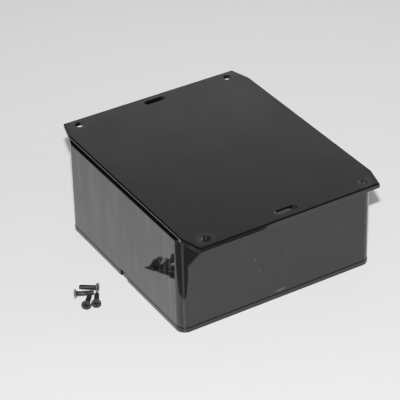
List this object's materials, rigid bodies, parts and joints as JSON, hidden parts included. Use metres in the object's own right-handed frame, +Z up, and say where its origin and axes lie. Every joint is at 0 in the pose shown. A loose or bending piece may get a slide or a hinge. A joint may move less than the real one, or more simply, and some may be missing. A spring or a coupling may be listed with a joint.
{
  "type": "flanged equipment box",
  "caption": "Plain moulded box for electronics with a mounting flange across its closed end, a screwed cover, and its cover screws lying loose beside it.",
  "frame": {"origin": "centre of the cover's underside, on the surface that the box stands on", "axes": "+Z up to the flange's mounting face, +Y towards one of the two ends where the flange overhangs, +X across the flange"},
  "size_m": [0.1541, 0.146, 0.06],
  "materials": {
    "body_plastic": "black ABS, polished walls and a satin flange face",
    "cover_plastic": "black ABS, polished rim and satin underside",
    "screw_steel": "steel with a black oxide finish"
  },
  "bodies": {
    "cover": {"bottom_cover": "cover_plastic"},
    "housing": {"flanged_body": "body_plastic"},
    "screw_1": {"cover_screw_1": "screw_steel"},
    "screw_2": {"cover_screw_2": "screw_steel"},
    "screw_3": {"cover_screw_3": "screw_steel"},
    "screw_4": {"cover_screw_4": "screw_steel"}
  },
  "joints": [
    {"name": "body_lift", "type": "slide", "parent": "cover", "child": "housing", "axis": [0, 0, 1], "range_m": [0, 0.09]},
    {"name": "screw_1_lift", "type": "slide", "parent": "cover", "child": "screw_1", "axis": [0, 0, 1], "range_m": [0, 0.04]},
    {"name": "screw_2_lift", "type": "slide", "parent": "cover", "child": "screw_2", "axis": [0, 0, 1], "range_m": [0, 0.04]},
    {"name": "screw_3_lift", "type": "slide", "parent": "cover", "child": "screw_3", "axis": [0, 0, 1], "range_m": [0, 0.04]},
    {"name": "screw_4_lift", "type": "slide", "parent": "cover", "child": "screw_4", "axis": [0, 0, 1], "range_m": [0, 0.04]}
  ]
}
